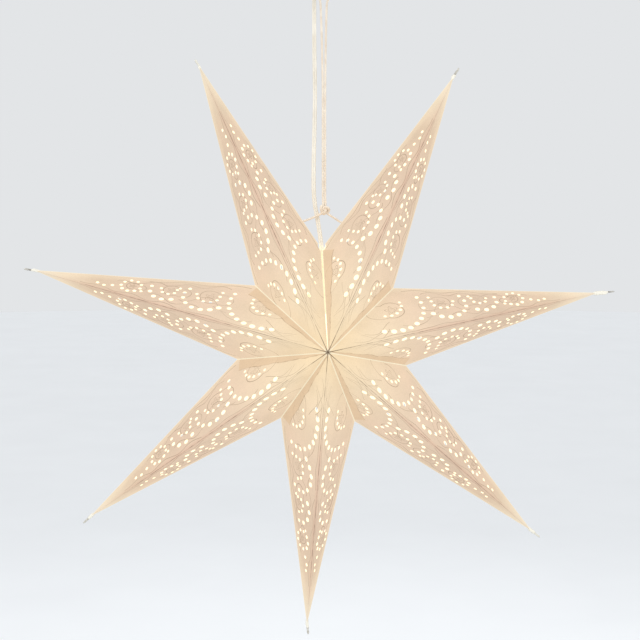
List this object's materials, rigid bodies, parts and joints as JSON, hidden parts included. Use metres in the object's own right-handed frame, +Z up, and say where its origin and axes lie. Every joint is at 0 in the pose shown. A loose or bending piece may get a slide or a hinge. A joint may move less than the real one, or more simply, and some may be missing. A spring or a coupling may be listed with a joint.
{
  "type": "paper star lantern",
  "caption": "Hanging star lantern of folded, pierced paper arms, lit by a lamp inside, on a cotton string and flat cable from a ceiling cup.",
  "frame": {"origin": "centre of the ceiling plate's upper face, where it meets the ceiling", "axes": "+Z up into the ceiling, +Y from the star's front to its back, +X to the right as seen from the front"},
  "size_m": [0.581, 0.18, 0.6842],
  "materials": {
    "star_paper": "matt off-white card, lit from inside",
    "cotton_string": "twisted natural cotton",
    "cable_sheath": "satin PVC",
    "holder_plastic": "satin white thermoplastic",
    "block_plastic": "matt white insulator",
    "contact_brass": "plain sheet brass",
    "bulb_glass": "frosted glass, lit",
    "plated_steel": "zinc plated",
    "cup_enamel": "satin white enamel"
  },
  "bodies": {
    "root": {"arm_1": "star_paper", "arm_2": "star_paper", "arm_3": "star_paper", "arm_4": "star_paper", "arm_5": "star_paper", "arm_6": "star_paper", "arm_7": "star_paper", "arm_string": "cotton_string", "hanging_loop": "cotton_string", "string_knot": "cotton_string", "left_end_knot": "cotton_string", "right_end_knot": "cotton_string", "lamp_cable": "cable_sheath", "holder_cap": "holder_plastic", "contact_block": "block_plastic", "centre_contact": "contact_brass", "side_contact": "contact_brass", "holder_skirt": "holder_plastic", "bulb": "bulb_glass", "ceiling_plate": "plated_steel", "terminal_block": "block_plastic", "ceiling_cup": "cup_enamel", "cup_screws": "plated_steel", "cord_grip": "holder_plastic", "string_hook": "plated_steel"}
  },
  "joints": []
}
